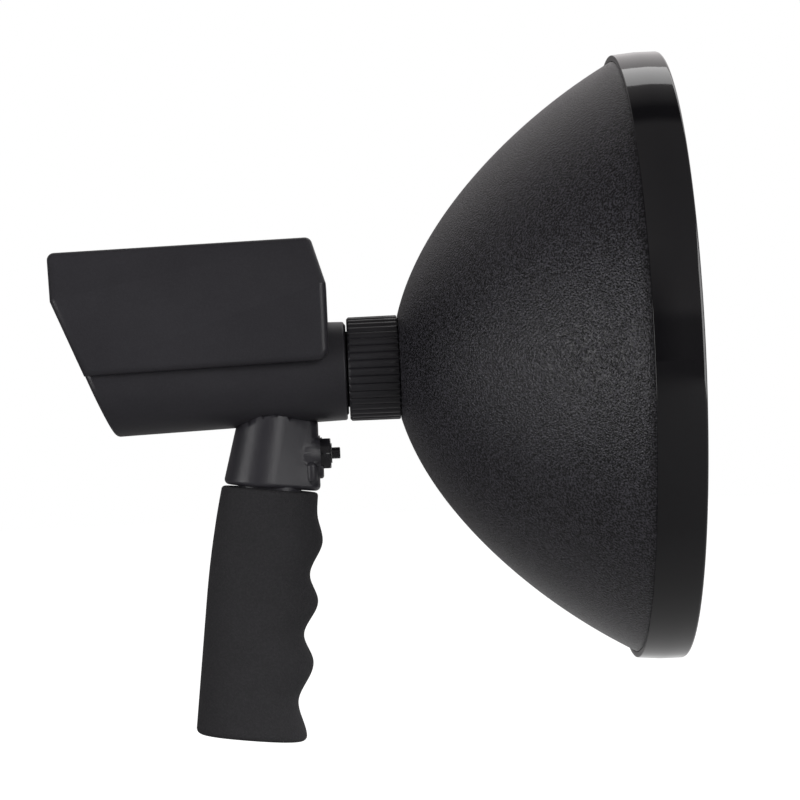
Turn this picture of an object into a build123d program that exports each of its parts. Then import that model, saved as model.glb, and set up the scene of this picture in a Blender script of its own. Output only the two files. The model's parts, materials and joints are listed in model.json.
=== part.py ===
from build123d import *
import os
from math import acos, atan2, cos, pi, radians, sin, sqrt, tan

# Handheld spotlight. Millimetres, +X along the beam, +Z up.
# The origin is on the lamp's axis, half way through the bezel ring.

# Fits
running_fit = 0.08
moving_gap = 0.3
seat_gap = 0.1
screw_fit = 0.02

# Bezel ring
ring_radius = 120.0
ring_width = 18.3
ring_land = 9.2
ring_taper = 0.8
ring_wall = 3.1
ring_rounding = 1.2
lip_height = 6.5
lip_thickness = 3.2
lip_rounding = 0.6
bead_height = 0.6
bead_width = 1.2
bead_slope = 1.0
bead_setback = 2.6

# Lens and mirror
lens_thickness = 4.0
lens_chamfer = 0.6
gasket_thickness = 1.5
gasket_width = 5.2
mirror_wall = 1.5
mirror_hole_radius = 14.5
mirror_flange = 3.9
mirror_seat_width = 3.0

# Bowl
bowl_depth = 88.35
bowl_wall = 3.0
bowl_fullness = 0.15
rim_thickness = 4.1
rim_fit = 0.2
neck_wall = 4.4
spigot_step = 1.4
curve_steps = 14

# Focus collar
collar_radius = 20.7
collar_length = 20.0
collar_draft = 0.3
collar_chamfer = 0.8
collar_gap = 1.0
reed_count = 40
reed_depth = 0.75
web_thickness = 2.4
thread_clearance = 0.1

# Nose, which carries the collar and guides the bowl
nose_radius = 13.0
nose_wall = 2.2
shoulder_radius = 15.0
shoulder_lip = 1.0
key_width = 3.0
key_height = 1.4
clip_thickness = 1.2
clip_overlap = 2.0
clip_groove_depth = 1.0
clip_opening = 40.0
seal_section = 0.8
seal_stand = 0.6

# Tube
tube_front_radius = 19.5
tube_draft = 1.62
tube_drop = 0.6
tube_wall = 2.6
tube_length = 100.9
tube_rounding = 2.6
tube_front_rounding = 0.8
rear_lean = 21.9
front_wall = 3.0

# Housing over the tube
cover_setback = 6.3
cover_height = 52.15
cover_pitch = 1.3
top_pitch = 1.0
rear_top_lean = 4.0
cover_wall = 2.4
cover_overhang = 3.9
fold_height = 33.5
fold_bulge = 1.6
top_inset = 6.2
front_top_lean = 16.0
panel_height = 3.7
panel_front_rounding = 5.0
top_rounding = 2.9
seal_thickness = 1.1
seal_width = 3.0
seal_setback = 0.4

# Deck under the housing, and the housing's screws
deck_half_width = 16.0
deck_rise = 2.0
deck_setback = 5.0
pillar_radius = 3.6
pillar_height = 7.4
pillar_front_inset = 13.0
pillar_rear_inset = 4.1
pillar_side = 12.0
well_radius = 3.2
well_wall = 1.0
well_floor = 3.0
screw_radius = 1.5
screw_head_radius = 2.8
screw_head_height = 2.0
screw_grip = 8.0
screw_slot = 0.9

# Electronics
ballast_end_gap = 8.5
ballast_width = 31.0
ballast_height = 19.0
ballast_rounding = 2.0
ballast_groove = 1.6
ballast_grooves = 5
igniter_front_gap = 4.3
igniter_rear_gap = 22.6
igniter_fit = 0.25
window_length = 24.0
window_half_width = 8.0
window_setback = 17.4

# Lamp
holder_flange_radius = 14.0
holder_flange = 2.6
holder_recess = 4.4
base_radius = 9.4
base_flange = 2.0
base_stub_radius = 5.8
base_stub = 12.0
glass_radius = 4.6
glass_tip_rounding = 3.2
glass_inner_rounding = 2.1
glass_wall = 1.0
glass_root = 3.0
arc_radius = 2.6
arc_length = 9.0
arc_stem_radius = 0.9
return_radius = 0.8
return_offset = 6.4
clamp_thickness = 0.8
clamp_width = 1.8
clamp_leg_width = 4.0

# Handle
handle_lean = 7.04
handle_setback = 32.3
neck_drop = 25.0
neck_overlap = 6.7
neck_top_front = 20.35
neck_top_rear = 10.45
neck_front = 20.3
neck_rear = 18.4
neck_clearance = 0.7
nose_round_top = 6.6
nose_round = 7.2
heel_round_top = 12.6
heel_round = 14.6
neck_rounding = 2.0
core_half_length = 12.6
core_half_width = 11.0
core_rounding = 9.0
cable_bore_radius = 7.0
grip_length = 98.45
grip_half_width = 17.0
grip_squareness = 2.4
oval_steps = 24
grip_rear = 21.45
grip_rear_top = 18.9
grip_easing = 45.0
grip_rounding = 1.5
handle_screw_spacing = 23.0
handle_screw_offset = 3.25
handle_screw_length = 8.0

# Finger lobes: distance down the grip, and the front's distance from its axis
last_peak = 66.5
last_valley_share = 0.53208
finger_lobes = (
    (0.0, 19.3),
    (8.5, 19.7),
    (18.7, 22.6),
    (33.3, 18.7),
    (42.5, 22.6),
    (57.2, 18.2),
    (last_peak, 22.6),
    (last_peak + (grip_length - last_peak) * last_valley_share, 18.0),
    (grip_length - 2.0, 22.4),
    (grip_length, 22.6),
)

# Bottom cap and inlet
cap_flange = 2.8
cap_stand = 0.2
inlet_radius = 6.2
inlet_flange = 0.9
inlet_bush_radius = 5.0
inlet_mouth_radius = 4.4
inlet_mouth_depth = 3.0
inlet_bore_radius = 3.6
inlet_depth = 9.0
inlet_floor = 3.0
inlet_nut_radius = 6.7
inlet_nut_thickness = 2.4
contact_radius = 0.75
contact_offset = 1.9
contact_reach = 5.0
contact_tail = 5.0
cap_screw_offset = 9.6
cap_screw_radius = 1.0
cap_screw_head_radius = 1.8
cap_screw_head = 1.5
cap_screw_length = 10.0

# Push switch
switch_rise = 13.1
switch_seat = 20.85
boss_radius = 7.2
boss_depth = 9.0
chin_radius = 4.6
chin_drop = 5.3
chin_stand = 1.0
rib_radius = 2.2
rib_side = 5.6
rib_setback = 3.8
switch_wall = 2.8
switch_radius = 5.6
switch_length = 16.4
bush_radius = 3.9
bush_stand = 0.4
washer_thickness = 0.8
washer_radius = 6.4
nut_across = 11.8
nut_thickness = 3.3
nut_chamfer = 0.6
plunger_radius = 2.27
plunger_stand = 3.7
plunger_travel = 2.0
plunger_collar = 3.0
plunger_collar_length = 1.6
plunger_cavity = 3.4
plunger_rounding = 0.4
spring_wire = 0.35
spring_turns = 3
spring_gap = 0.07
terminal_length = 3.2
terminal_width = 2.6
terminal_thickness = 0.8
terminal_spread = 2.3

# Leads
lead_radius = 0.9
lead_bend = 1.5
lead_side = 1.9
lead_pass = 4.2
lead_turn = 2.2
lead_rise = 3.6
lamp_lead_side = 6.0

# Places along the lamp's axis
ring_front = ring_width / 2
ring_rear = -ring_width / 2
rim_bore = ring_radius - ring_wall
bowl_rim_radius = rim_bore - rim_fit
lip_radius = rim_bore - lip_height
lip_back = ring_front - lip_thickness
lens_back = lip_back - lens_thickness
bowl_front = lens_back - gasket_thickness
bowl_back = ring_rear - bowl_depth
collar_front = bowl_back - moving_gap
collar_back = collar_front - collar_length
tube_front = collar_back - collar_gap
web_front = collar_back + web_thickness
clip_back = web_front + moving_gap
clip_front = clip_back + clip_thickness
shoulder_front = clip_front + shoulder_lip + seat_gap
neck_back = shoulder_front + moving_gap
neck_bore = nose_radius + running_fit
neck_radius = neck_bore + neck_wall
thread_radius = neck_radius + thread_clearance
nose_bore = nose_radius - nose_wall
nose_front = bowl_back + bowl_wall - moving_gap
tube_back = tube_front - tube_length
draft = tan(radians(tube_draft))

# Directions of the slanted rear and of the handle
rear_normal = Vector(-cos(radians(rear_lean)), 0, -sin(radians(rear_lean)))
handle_forward = Vector(cos(radians(handle_lean)), 0, -sin(radians(handle_lean)))
handle_up = Vector(sin(radians(handle_lean)), 0, cos(radians(handle_lean)))
handle_x = tube_front - handle_setback


def tube_radius(x):
    """Outside radius of the tube at a place along its length."""
    return tube_front_radius + (tube_front - x) * draft


tube_bottom = -tube_drop - tube_radius(handle_x)
handle_top = Vector(handle_x, 0, tube_bottom - neck_drop)
switch_z = handle_top.Z + switch_rise
switch_face = handle_x + switch_seat
tube_far = tube_back - tube_radius(tube_back)
deck_top = tube_radius(tube_back) - tube_drop + deck_rise
cover_front = tube_front - cover_setback
cover_half_width = tube_radius(tube_back) + cover_overhang
pillar_front = cover_front - pillar_front_inset
pillar_rear = tube_back + pillar_rear_inset
ballast_front = pillar_front - ballast_end_gap
ballast_length = ballast_front - pillar_rear - ballast_end_gap


def outline(*corners):
    """A closed flat outline of corners, each with its rounding if it has one."""
    points = [corner[:2] for corner in corners]
    roundings = [corner[2] if len(corner) > 2 else 0 for corner in corners]
    return make_face(FilletPolyline(*points, radius=roundings, close=True))


def turned(*corners):
    """A solid turned about the lamp's axis from corners given as x and radius."""
    return revolve(Plane.XZ * outline(*corners), Axis.X)


def ring_between(x_rear, x_front, inner, outer):
    """A plain ring about the lamp's axis."""
    return turned((x_rear, inner), (x_front, inner), (x_front, outer), (x_rear, outer))


def rod(x_rear, x_front, radius, y=0.0, z=0.0):
    """A round rod parallel to the lamp's axis."""
    plane = Plane(origin=(x_rear, y, z), x_dir=(0, 1, 0), z_dir=(1, 0, 0))
    return extrude(plane * Circle(radius), x_front - x_rear)


def post(x, y, z_low, z_high, radius):
    """A round upright post."""
    return extrude(Plane(origin=(x, y, z_low)) * Circle(radius), z_high - z_low)


def handle_point(forward, down, side=0.0):
    """A point given from the top of the grip, across and down the handle's own axis."""
    return handle_top + handle_forward * forward - handle_up * down + Vector(0, side, 0)


def handle_plane(down, forward=0.0, side=0.0):
    """A plane across the handle, with its normal up the handle's axis."""
    return Plane(origin=handle_point(forward, down, side), x_dir=handle_forward, z_dir=handle_up)


def handle_rod(down_from, down_to, radius, forward=0.0, side=0.0):
    """A round rod along the handle's axis."""
    return extrude(handle_plane(down_to, forward, side) * Circle(radius), down_to - down_from)


def oval(rear, front, half_width, squareness):
    """A closed oval: a superellipse from -rear to +front, half_width to each side."""
    centre = (front - rear) / 2
    half_length = (front + rear) / 2
    points = []
    for step in range(oval_steps):
        angle = 2 * pi * step / oval_steps
        along = abs(cos(angle)) ** (2 / squareness) * (1 if cos(angle) > 0 else -1)
        across = abs(sin(angle)) ** (2 / squareness) * (1 if sin(angle) > 0 else -1)
        points.append((centre + half_length * along, half_width * across))
    return make_face(Spline(*points, periodic=True))


def wedge(rear, front, heel, nose):
    """A closed outline round two circles: a wide heel at -rear and a narrow nose at +front."""
    heel_x = heel - rear
    nose_x = front - nose
    tangent = acos((heel - nose) / (nose_x - heel_x))
    heel_point = (heel_x + heel * cos(tangent), heel * sin(tangent))
    nose_point = (nose_x + nose * cos(tangent), nose * sin(tangent))
    heel_mirror = (heel_point[0], -heel_point[1])
    nose_mirror = (nose_point[0], -nose_point[1])
    return make_face([
        ThreePointArc(nose_mirror, (front, 0), nose_point),
        Line(nose_point, heel_point),
        ThreePointArc(heel_point, (-rear, 0), heel_mirror),
        Line(heel_mirror, nose_mirror),
    ])


def bowl_radius(share):
    """Radius of the bowl's outside, at a share of the way from its root to its rim."""
    fullness = share + bowl_fullness * share ** 2 * (1 - share)
    return sqrt(collar_radius ** 2 + (bowl_rim_radius ** 2 - collar_radius ** 2) * fullness)


def mirror_radius(share):
    """Radius of the mirror, a parabola from its hole to its mouth."""
    return sqrt(mirror_hole_radius ** 2 + (lip_radius ** 2 - mirror_hole_radius ** 2) * share)


def wall_curve(radius_at, x_rear, x_front, depth):
    """Points of a turned wall's curve, moved inward along its normals by a depth."""
    length = x_front - x_rear
    step = 0.0005
    points = []
    for index in range(curve_steps + 1):
        share = (index / curve_steps) ** 2
        low = max(share - step, 0.0)
        high = min(share + step, 1.0)
        angle = atan2(radius_at(high) - radius_at(low), (high - low) * length)
        points.append((x_rear + share * length + depth * sin(angle), radius_at(share) - depth * cos(angle)))
    return points


def screw(tip_z, head_z, x, y):
    """A pan-head screw pointing down, with a slot across its head."""
    shank = post(x, y, tip_z, head_z, screw_radius - screw_fit)
    head = post(x, y, head_z, head_z + screw_head_height, screw_head_radius)
    slot = Pos(x, y, head_z + screw_head_height) * Box(2 * screw_head_radius, screw_slot, 2 * screw_slot)
    return shank + fillet(head.edges().group_by(Axis.Z)[-1], screw_slot / 2) - slot


def bezel_ring():
    """The glossy ring: a tapered skin, a lip over the lens and a snap bead inside."""
    bead = ring_rear + bead_setback
    bead_radius = rim_bore - bead_height
    return turned(
        (ring_rear, rim_bore),
        (ring_rear, ring_radius - ring_taper, ring_rounding / 2),
        (ring_front - ring_land, ring_radius),
        (ring_front, ring_radius, ring_rounding),
        (ring_front, lip_radius, ring_rounding),
        (lip_back, lip_radius, lip_rounding),
        (lip_back, rim_bore),
        (bead + bead_width + 2 * bead_slope, rim_bore),
        (bead + bead_width + bead_slope, bead_radius),
        (bead + bead_slope, bead_radius),
        (bead, rim_bore),
    )


def lens():
    """The clear front, held under the ring's lip."""
    radius = bowl_rim_radius
    return turned(
        (lens_back, 0),
        (lip_back, 0),
        (lip_back, radius - lens_chamfer),
        (lip_back - lens_chamfer, radius),
        (lens_back + lens_chamfer, radius),
        (lens_back, radius - lens_chamfer),
    )


def lens_gasket():
    """The flat seal between the lens and the bowl's rim."""
    outer = bowl_rim_radius - lens_chamfer
    return ring_between(bowl_front, lens_back, outer - gasket_width, outer)


def mirror_land():
    """Where the mirror's back seats inside the bowl, as x and radius."""
    return wall_curve(bowl_radius, bowl_back, ring_rear, bowl_wall)[0]


def reflector():
    """The mirror: a thin parabola with a flange at its mouth and a seat round its hole."""
    land_x = mirror_land()[0]
    hole_x = land_x + mirror_wall
    flange_back = bowl_front - mirror_wall
    inner = wall_curve(mirror_radius, hole_x, bowl_front, 0)
    outer = wall_curve(mirror_radius, hole_x, bowl_front, -mirror_wall)[:-1]
    outer.append((flange_back, lip_radius + mirror_wall))
    flange_radius = lip_radius + mirror_flange
    edges = [
        Spline(*inner),
        *Polyline(
            inner[-1],
            (bowl_front, flange_radius),
            (flange_back, flange_radius),
            outer[-1],
        ).edges(),
        Spline(*outer),
        Line(outer[0], inner[0]),
    ]
    shell = revolve(Plane.XZ * make_face(edges), Axis.X)
    seat_radius = mirror_hole_radius + mirror_seat_width
    return shell + ring_between(land_x, hole_x - seat_gap, mirror_hole_radius, seat_radius)


def bowl_shell():
    """The textured bowl, with the rim's groove and seats in front and the sleeve's hole behind."""
    outer = wall_curve(bowl_radius, bowl_back, ring_rear, 0)
    inner = wall_curve(bowl_radius, bowl_back, ring_rear, bowl_wall)
    hole_radius = neck_radius - spigot_step + seat_gap
    rim_inner = bowl_rim_radius - rim_thickness
    seat_x = bowl_front - mirror_wall
    seat_radius = lip_radius + mirror_flange + seat_gap
    groove = ring_rear + bead_setback - rim_fit
    groove_radius = rim_bore - bead_height - rim_fit
    groove_end = groove + bead_width + 2 * bead_slope + 2 * rim_fit
    edges = [
        Spline(*outer),
        *Polyline(
            outer[-1],
            (groove, bowl_rim_radius),
            (groove + bead_slope, groove_radius),
            (groove_end - bead_slope, groove_radius),
            (groove_end, bowl_rim_radius),
            (bowl_front, bowl_rim_radius),
            (bowl_front, seat_radius),
            (seat_x, seat_radius),
            (seat_x, rim_inner),
            (inner[-1][0] + rim_thickness - bowl_wall, rim_inner),
            inner[-1],
        ).edges(),
        Spline(*inner),
        *Polyline(
            inner[0],
            (inner[0][0], hole_radius),
            (bowl_back, hole_radius),
            outer[0],
        ).edges(),
    ]
    return revolve(Plane.XZ * make_face(edges), Axis.X)


def neck_sleeve():
    """The bowl's threaded sleeve: two keyways guide it on the nose, and its spigot sits in the bowl."""
    land_x = mirror_land()[0]
    spigot_radius = neck_radius - spigot_step
    sleeve = turned(
        (neck_back, neck_bore),
        (land_x, neck_bore),
        (land_x, spigot_radius),
        (bowl_back, spigot_radius),
        (bowl_back, neck_radius),
        (neck_back, neck_radius, lip_rounding),
    )
    keyway_top = nose_radius + key_height + moving_gap
    length = land_x - neck_back
    keyway = Box(
        length, key_width + 2 * seat_gap, 2 * keyway_top, align=(Align.MIN, Align.CENTER, Align.CENTER)
    )
    return sleeve - Pos(neck_back, 0, 0) * keyway


def reeded(radius, x):
    """A flat face of round reeds about the lamp's axis."""
    plane = Plane(origin=(x, 0, 0), x_dir=(0, 1, 0), z_dir=(1, 0, 0))
    arcs = []
    for index in range(reed_count):
        angles = [2 * pi * (index + part) / reed_count for part in (0, 0.5, 1)]
        radii = (radius - reed_depth, radius, radius - reed_depth)
        arcs.append(ThreePointArc(*[(r * cos(a), r * sin(a)) for r, a in zip(radii, angles)]))
    return plane * make_face(arcs)


def focus_collar():
    """The ribbed collar: reeds outside, a thread's bore and a web that turns on the nose inside."""
    back_radius = collar_radius - collar_length * tan(radians(collar_draft))
    reeds = loft([reeded(back_radius, collar_back), reeded(collar_radius, collar_front)], ruled=True)
    envelope = turned(
        (collar_back, 0),
        (collar_back, back_radius - collar_chamfer),
        (collar_back + collar_chamfer, back_radius),
        (collar_front - collar_chamfer / 2, collar_radius),
        (collar_front, collar_radius - collar_chamfer / 2),
        (collar_front, 0),
    )
    bore = turned(
        (collar_back - 1, 0),
        (collar_back - 1, shoulder_radius + running_fit),
        (web_front, shoulder_radius + running_fit),
        (web_front, thread_radius),
        (collar_front + 1, thread_radius),
        (collar_front + 1, 0),
    )
    return (reeds & envelope) - bore


def retaining_clip():
    """The spring ring in the nose's groove that keeps the collar on."""
    groove_radius = shoulder_radius - clip_groove_depth + seat_gap / 2
    clip = ring_between(clip_back, clip_front, groove_radius, shoulder_radius + clip_overlap)
    half = radians(clip_opening / 2)
    reach = 2 * shoulder_radius
    across = reach * sin(half)
    opening = Polyline((0, 0), (across, reach * cos(half)), (-across, reach * cos(half)), close=True)
    plane = Plane(origin=(clip_back - 1, 0, 0), x_dir=(0, 1, 0), z_dir=(1, 0, 0))
    return clip - extrude(plane * make_face(opening), clip_thickness + 2)


def seal_radius():
    """Radius of the collar's seal, half way between the nose and the collar's outside."""
    return (shoulder_radius + tube_front_radius) / 2


def collar_seal():
    """The round-section ring in the tube's front face, behind the collar."""
    centre = tube_front + seal_stand - seal_section
    section = Plane.XZ * Pos(centre, seal_radius()) * Circle(seal_section)
    return revolve(section, Axis.X)


def behind_rear(inset):
    """Everything behind the body's slanted rear, moved in by an inset."""
    origin = Vector(tube_back, 0, 0) - rear_normal * inset
    size = 6 * tube_front_radius + 2 * cover_height
    plane = Plane(origin=origin, x_dir=(0, 1, 0), z_dir=rear_normal)
    return plane * Box(size, size, size, align=(Align.CENTER, Align.CENTER, Align.MIN))


def tube_cone(growth, x_front, x_rear):
    """The tube's drafted cone, grown or shrunk evenly, between two places."""
    front_radius = tube_radius(x_front) + growth
    rear_radius = tube_radius(x_rear) + growth
    cone = turned((x_front, 0), (x_front, front_radius), (x_rear, rear_radius), (x_rear, 0))
    return Pos(0, 0, -tube_drop) * cone


def pitched(height, x, pitch=cover_pitch):
    """Height of one of the housing's long lines, given its height at the front."""
    return height + (x - cover_front) * tan(radians(pitch))


def rear_meets(height):
    """Where one of the housing's long lines meets the slanted rear, as x and z."""
    rise = tan(radians(cover_pitch))
    lean = tan(radians(rear_lean))
    x = (tube_back - (height - cover_front * rise) * lean) / (1 + rise * lean)
    return x, pitched(height, x)


def side_outline(inset):
    """The housing's outline from the side, moved in by an inset."""
    panel_rear = rear_meets(panel_height)
    fold_rear = rear_meets(fold_height)
    rise = cover_height - fold_height
    top_front = cover_front - rise * tan(radians(front_top_lean))
    top_rear = fold_rear[0] - rise * tan(radians(rear_top_lean))
    face = outline(
        panel_rear,
        fold_rear,
        (top_rear, pitched(cover_height, top_rear, top_pitch)),
        (top_front, pitched(cover_height, top_front, top_pitch)),
        (cover_front, fold_height),
        (cover_front, panel_height, panel_front_rounding),
    )
    return offset(face, -inset, kind=Kind.INTERSECTION) if inset else face


def front_outline(inset):
    """The housing's outline from the front: sides that lean in above a fold."""
    slant = cos(radians(cover_pitch))
    fold = cover_half_width + fold_bulge
    above = 2 * cover_height - fold_height
    top = fold - 2 * (top_inset + fold_bulge)
    face = outline(
        (-cover_half_width, panel_height * slant - cover_wall),
        (-fold, fold_height * slant),
        (-top, above * slant),
        (top, above * slant),
        (fold, fold_height * slant),
        (cover_half_width, panel_height * slant - cover_wall),
    )
    return offset(face, -inset, kind=Kind.INTERSECTION) if inset else face


def housing_block(inset=0.0, drop=0.0):
    """The housing as a solid block, moved in by an inset, and down by a drop."""
    half_width = cover_half_width + fold_bulge + 1
    side = extrude(Plane.XZ * side_outline(inset), half_width, both=True)
    pitch = radians(cover_pitch)
    plane = Plane(origin=(cover_front, 0, 0), x_dir=(0, 1, 0), z_dir=(cos(pitch), 0, sin(pitch)))
    front = extrude(plane * front_outline(inset), 2 * tube_length, both=True)
    return Pos(0, 0, -drop) * (side & front)


def pillar_places():
    """Where the housing's four screws stand, as x and y."""
    return [(x, side * pillar_side) for x in (pillar_front, pillar_rear) for side in (-1, 1)]


def handle_screw_places():
    """Where the handle's two screws stand along the tube."""
    middle = handle_x + handle_screw_offset
    return [middle - handle_screw_spacing / 2, middle + handle_screw_spacing / 2]


def tube_floor(x):
    """Height of the tube's inside at its lowest line."""
    return -tube_drop - tube_radius(x) + tube_wall


def nose():
    """The stepped nose in front of the tube, with the clip's groove and two keys."""
    groove_radius = shoulder_radius - clip_groove_depth
    barrel = turned(
        (tube_front - front_wall, nose_bore),
        (nose_front, nose_bore),
        (nose_front, nose_radius, lip_rounding),
        (shoulder_front, nose_radius),
        (shoulder_front, shoulder_radius),
        (clip_front + seat_gap, shoulder_radius),
        (clip_front + seat_gap, groove_radius),
        (clip_back, groove_radius),
        (clip_back, shoulder_radius),
        (tube_front - front_wall, shoulder_radius),
    )
    key_length = nose_front - shoulder_front - lip_rounding
    key_middle = nose_radius + (key_height - nose_wall) / 2
    for side in (-1, 1):
        key = Box(
            key_length, key_width, key_height + nose_wall, align=(Align.MIN, Align.CENTER, Align.CENTER)
        )
        barrel += Pos(shoulder_front, 0, side * key_middle) * key
    return barrel


def tube_body():
    """The tube with its slanted closed end, its nose, and the deck that carries the housing."""
    skin = tube_cone(0, tube_front, tube_far) - behind_rear(0)
    rear_edge = skin.faces().sort_by(Axis.X)[0].edges()
    skin = fillet(rear_edge, tube_rounding)
    skin = fillet(skin.faces().sort_by(Axis.X)[-1].edges(), tube_front_rounding)
    inside = tube_cone(-tube_wall, tube_front - front_wall, tube_far) - behind_rear(tube_wall)
    deck_length = cover_front - deck_setback - tube_back
    deck = Pos(cover_front - deck_setback, 0, 0) * Box(
        deck_length + tube_rounding, 2 * deck_half_width, deck_top, align=(Align.MAX, Align.CENTER, Align.MIN)
    )
    deck -= behind_rear(seal_setback + seal_width + seat_gap)
    body = skin + deck
    for x, y in pillar_places():
        body += post(x, y, 0, deck_top + pillar_height, pillar_radius)
    body -= inside
    body += nose()
    body -= rod(tube_front - front_wall - 1, nose_front + 1, nose_bore)
    groove_half = seal_section + seat_gap / 2
    groove_floor = tube_front + seal_stand - 2 * seal_section
    body -= ring_between(
        groove_floor, tube_front + 1, seal_radius() - groove_half, seal_radius() + groove_half
    )
    window_front = tube_front - window_setback
    body -= Pos(window_front, 0, 0) * Box(
        window_length, 2 * window_half_width, 2 * deck_top, align=(Align.MAX, Align.CENTER, Align.MIN)
    )
    body -= handle_rod(-neck_drop - neck_overlap, 0, cable_bore_radius)
    for x in handle_screw_places():
        body -= post(x, 0, tube_floor(x) - 2 * tube_wall, 0, screw_radius + seat_gap)
        body -= post(x, 0, tube_floor(x), 0, screw_head_radius + moving_gap)
    for x, y in pillar_places():
        body -= post(x, y, deck_top + pillar_height - screw_grip, deck_top + pillar_height + 1, screw_radius)
    return body


def ballast_cover():
    """The housing: an open-bottomed shell that straddles the tube, with four screw wells from above."""
    block = housing_block()
    side = cover_half_width - top_inset
    ends = (tube_back, cover_front - deck_setback)
    high = (cover_height + fold_height) / 2 + top_rounding
    corners = block.edges().filter_by(lambda edge: abs(edge.center().Y) > side)
    corners = corners.filter_by(lambda edge: edge.center().Z > top_rounding)
    corners = corners.filter_by(lambda edge: not ends[0] < edge.center().X < ends[1])
    top = block.edges().filter_by(lambda edge: edge.center().Z > high)
    block = fillet(corners + top, top_rounding)
    cover = block - housing_block(cover_wall) - housing_block(cover_wall, 2 * cover_wall)
    boss_low = deck_top + pillar_height + seat_gap
    for x, y in pillar_places():
        boss = post(x, y, boss_low, cover_height + 1, well_radius + well_wall)
        cover += boss & block
    for x, y in pillar_places():
        cover -= post(x, y, boss_low + well_floor, cover_height + 1, well_radius)
        cover -= post(x, y, boss_low - 1, cover_height, screw_radius + seat_gap)
    return cover - tube_cone(seal_thickness + seat_gap, tube_front, tube_far)


def cover_gasket():
    """The seal between the housing's edge and the tube: a frame that follows the tube's skin."""
    skin = tube_cone(seal_thickness, tube_front - 1, tube_far) - tube_cone(0, tube_front, tube_far - 1)
    core = extrude(Plane.XZ * side_outline(seal_setback + seal_width), 2 * cover_half_width, both=True)
    return (skin & housing_block(seal_setback)) - core


def cover_screws():
    """The housing's four screws, at the bottom of their wells."""
    head_z = deck_top + pillar_height + seat_gap + well_floor
    screws = [screw(head_z - screw_grip - well_floor, head_z, x, y) for x, y in pillar_places()]
    return Compound(screws)


def handle_screws():
    """The two screws from inside the tube into the handle's saddle."""
    screws = []
    for x in handle_screw_places():
        screws.append(screw(tube_floor(x) - handle_screw_length, tube_floor(x), x, 0))
    return Compound(screws)


def ballast():
    """The lamp's ballast: a finned aluminium case on the deck."""
    case = Pos(ballast_front, 0, deck_top) * Box(
        ballast_length, ballast_width, ballast_height, align=(Align.MAX, Align.CENTER, Align.MIN)
    )
    case = fillet(case.edges().filter_by(Axis.X), ballast_rounding)
    pitch = ballast_width / (ballast_grooves + 1)
    for index in range(ballast_grooves):
        y = (index - (ballast_grooves - 1) / 2) * pitch
        case -= Pos(ballast_front - ballast_length / 2, y, deck_top + ballast_height) * Box(
            ballast_length + 1, pitch / 2, 2 * ballast_groove
        )
    return case


def igniter_front():
    """Where the igniter's front face lies in the tube, behind the handle's rear screw."""
    return handle_screw_places()[0] - screw_head_radius - igniter_front_gap


def igniter():
    """The potted igniter, a plug that fits the tube's taper."""
    return tube_cone(-tube_wall - igniter_fit, igniter_front(), tube_back + igniter_rear_gap)


# Places along the lamp
holder_back = tube_front - front_wall - holder_flange
holder_front = nose_front - holder_recess
base_front = holder_front + base_flange
mirror_back = mirror_land()[0] + mirror_wall
mirror_focal = (lip_radius ** 2 - mirror_hole_radius ** 2) / (bowl_front - mirror_back) / 4
arc_x = mirror_back - mirror_hole_radius ** 2 / (4 * mirror_focal) + mirror_focal
glass_front = arc_x + arc_length


def bulb_holder():
    """The lamp's holder, a flanged plug in the nose."""
    return turned(
        (holder_back, 0),
        (holder_front - base_stub, 0),
        (holder_front - base_stub, base_stub_radius + seat_gap),
        (holder_front, base_stub_radius + seat_gap),
        (holder_front, nose_bore - seat_gap),
        (tube_front - front_wall, nose_bore - seat_gap),
        (tube_front - front_wall, holder_flange_radius),
        (holder_back, holder_flange_radius, lip_rounding),
    )


def bulb_base():
    """The lamp's base: a flange on the holder's face and a stub inside it."""
    return turned(
        (holder_front - base_stub + seat_gap, 0),
        (base_front, 0),
        (base_front, base_radius, lip_rounding),
        (holder_front, base_radius),
        (holder_front, base_stub_radius),
        (holder_front - base_stub + seat_gap, base_stub_radius),
    )


def bulb_glass():
    """The lamp's outer glass, closed at its tip round a short pip."""
    inner = glass_radius - glass_wall
    return turned(
        (base_front, 0),
        (base_front + glass_root, 0),
        (base_front + glass_root, inner),
        (glass_front - glass_wall, inner, glass_inner_rounding),
        (glass_front - glass_wall, 0),
        (glass_front + glass_wall, 0),
        (glass_front + glass_wall, glass_wall),
        (glass_front, glass_wall),
        (glass_front, glass_radius, glass_tip_rounding),
        (base_front, glass_radius),
    )


def arc_tube():
    """The small inner tube that glows, on its two stems."""
    half = arc_length / 2
    centre = (arc_x, 0)
    profile = make_face([
        Line((base_front + glass_root, 0), (base_front + glass_root, arc_stem_radius)),
        Line((base_front + glass_root, arc_stem_radius), (arc_x - half, arc_stem_radius)),
        ThreePointArc((arc_x - half, arc_stem_radius), (arc_x, arc_radius), (arc_x + half, arc_stem_radius)),
        Line((arc_x + half, arc_stem_radius), (glass_front - glass_wall, arc_stem_radius)),
        Line((glass_front - glass_wall, arc_stem_radius), (glass_front - glass_wall, 0)),
        Line((glass_front - glass_wall, 0), (base_front + glass_root, 0)),
    ])
    return revolve(Plane.XZ * profile, Axis.X)


def wire(radius, bend, side, *points):
    """A round wire in an upright plane, through points given as x and z."""
    path = FilletPolyline(*[(x, side, z) for x, z in points], radius=bend)
    return sweep(Plane(origin=path @ 0, z_dir=path % 0) * Circle(radius), path)


def return_wire():
    """The lamp's return lead, along the glass and up to its pip."""
    tip = glass_front + glass_wall + return_radius
    low = -return_offset
    return wire(return_radius, 2 * return_radius, 0, (base_front, low), (tip, low), (tip, glass_wall))


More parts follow.
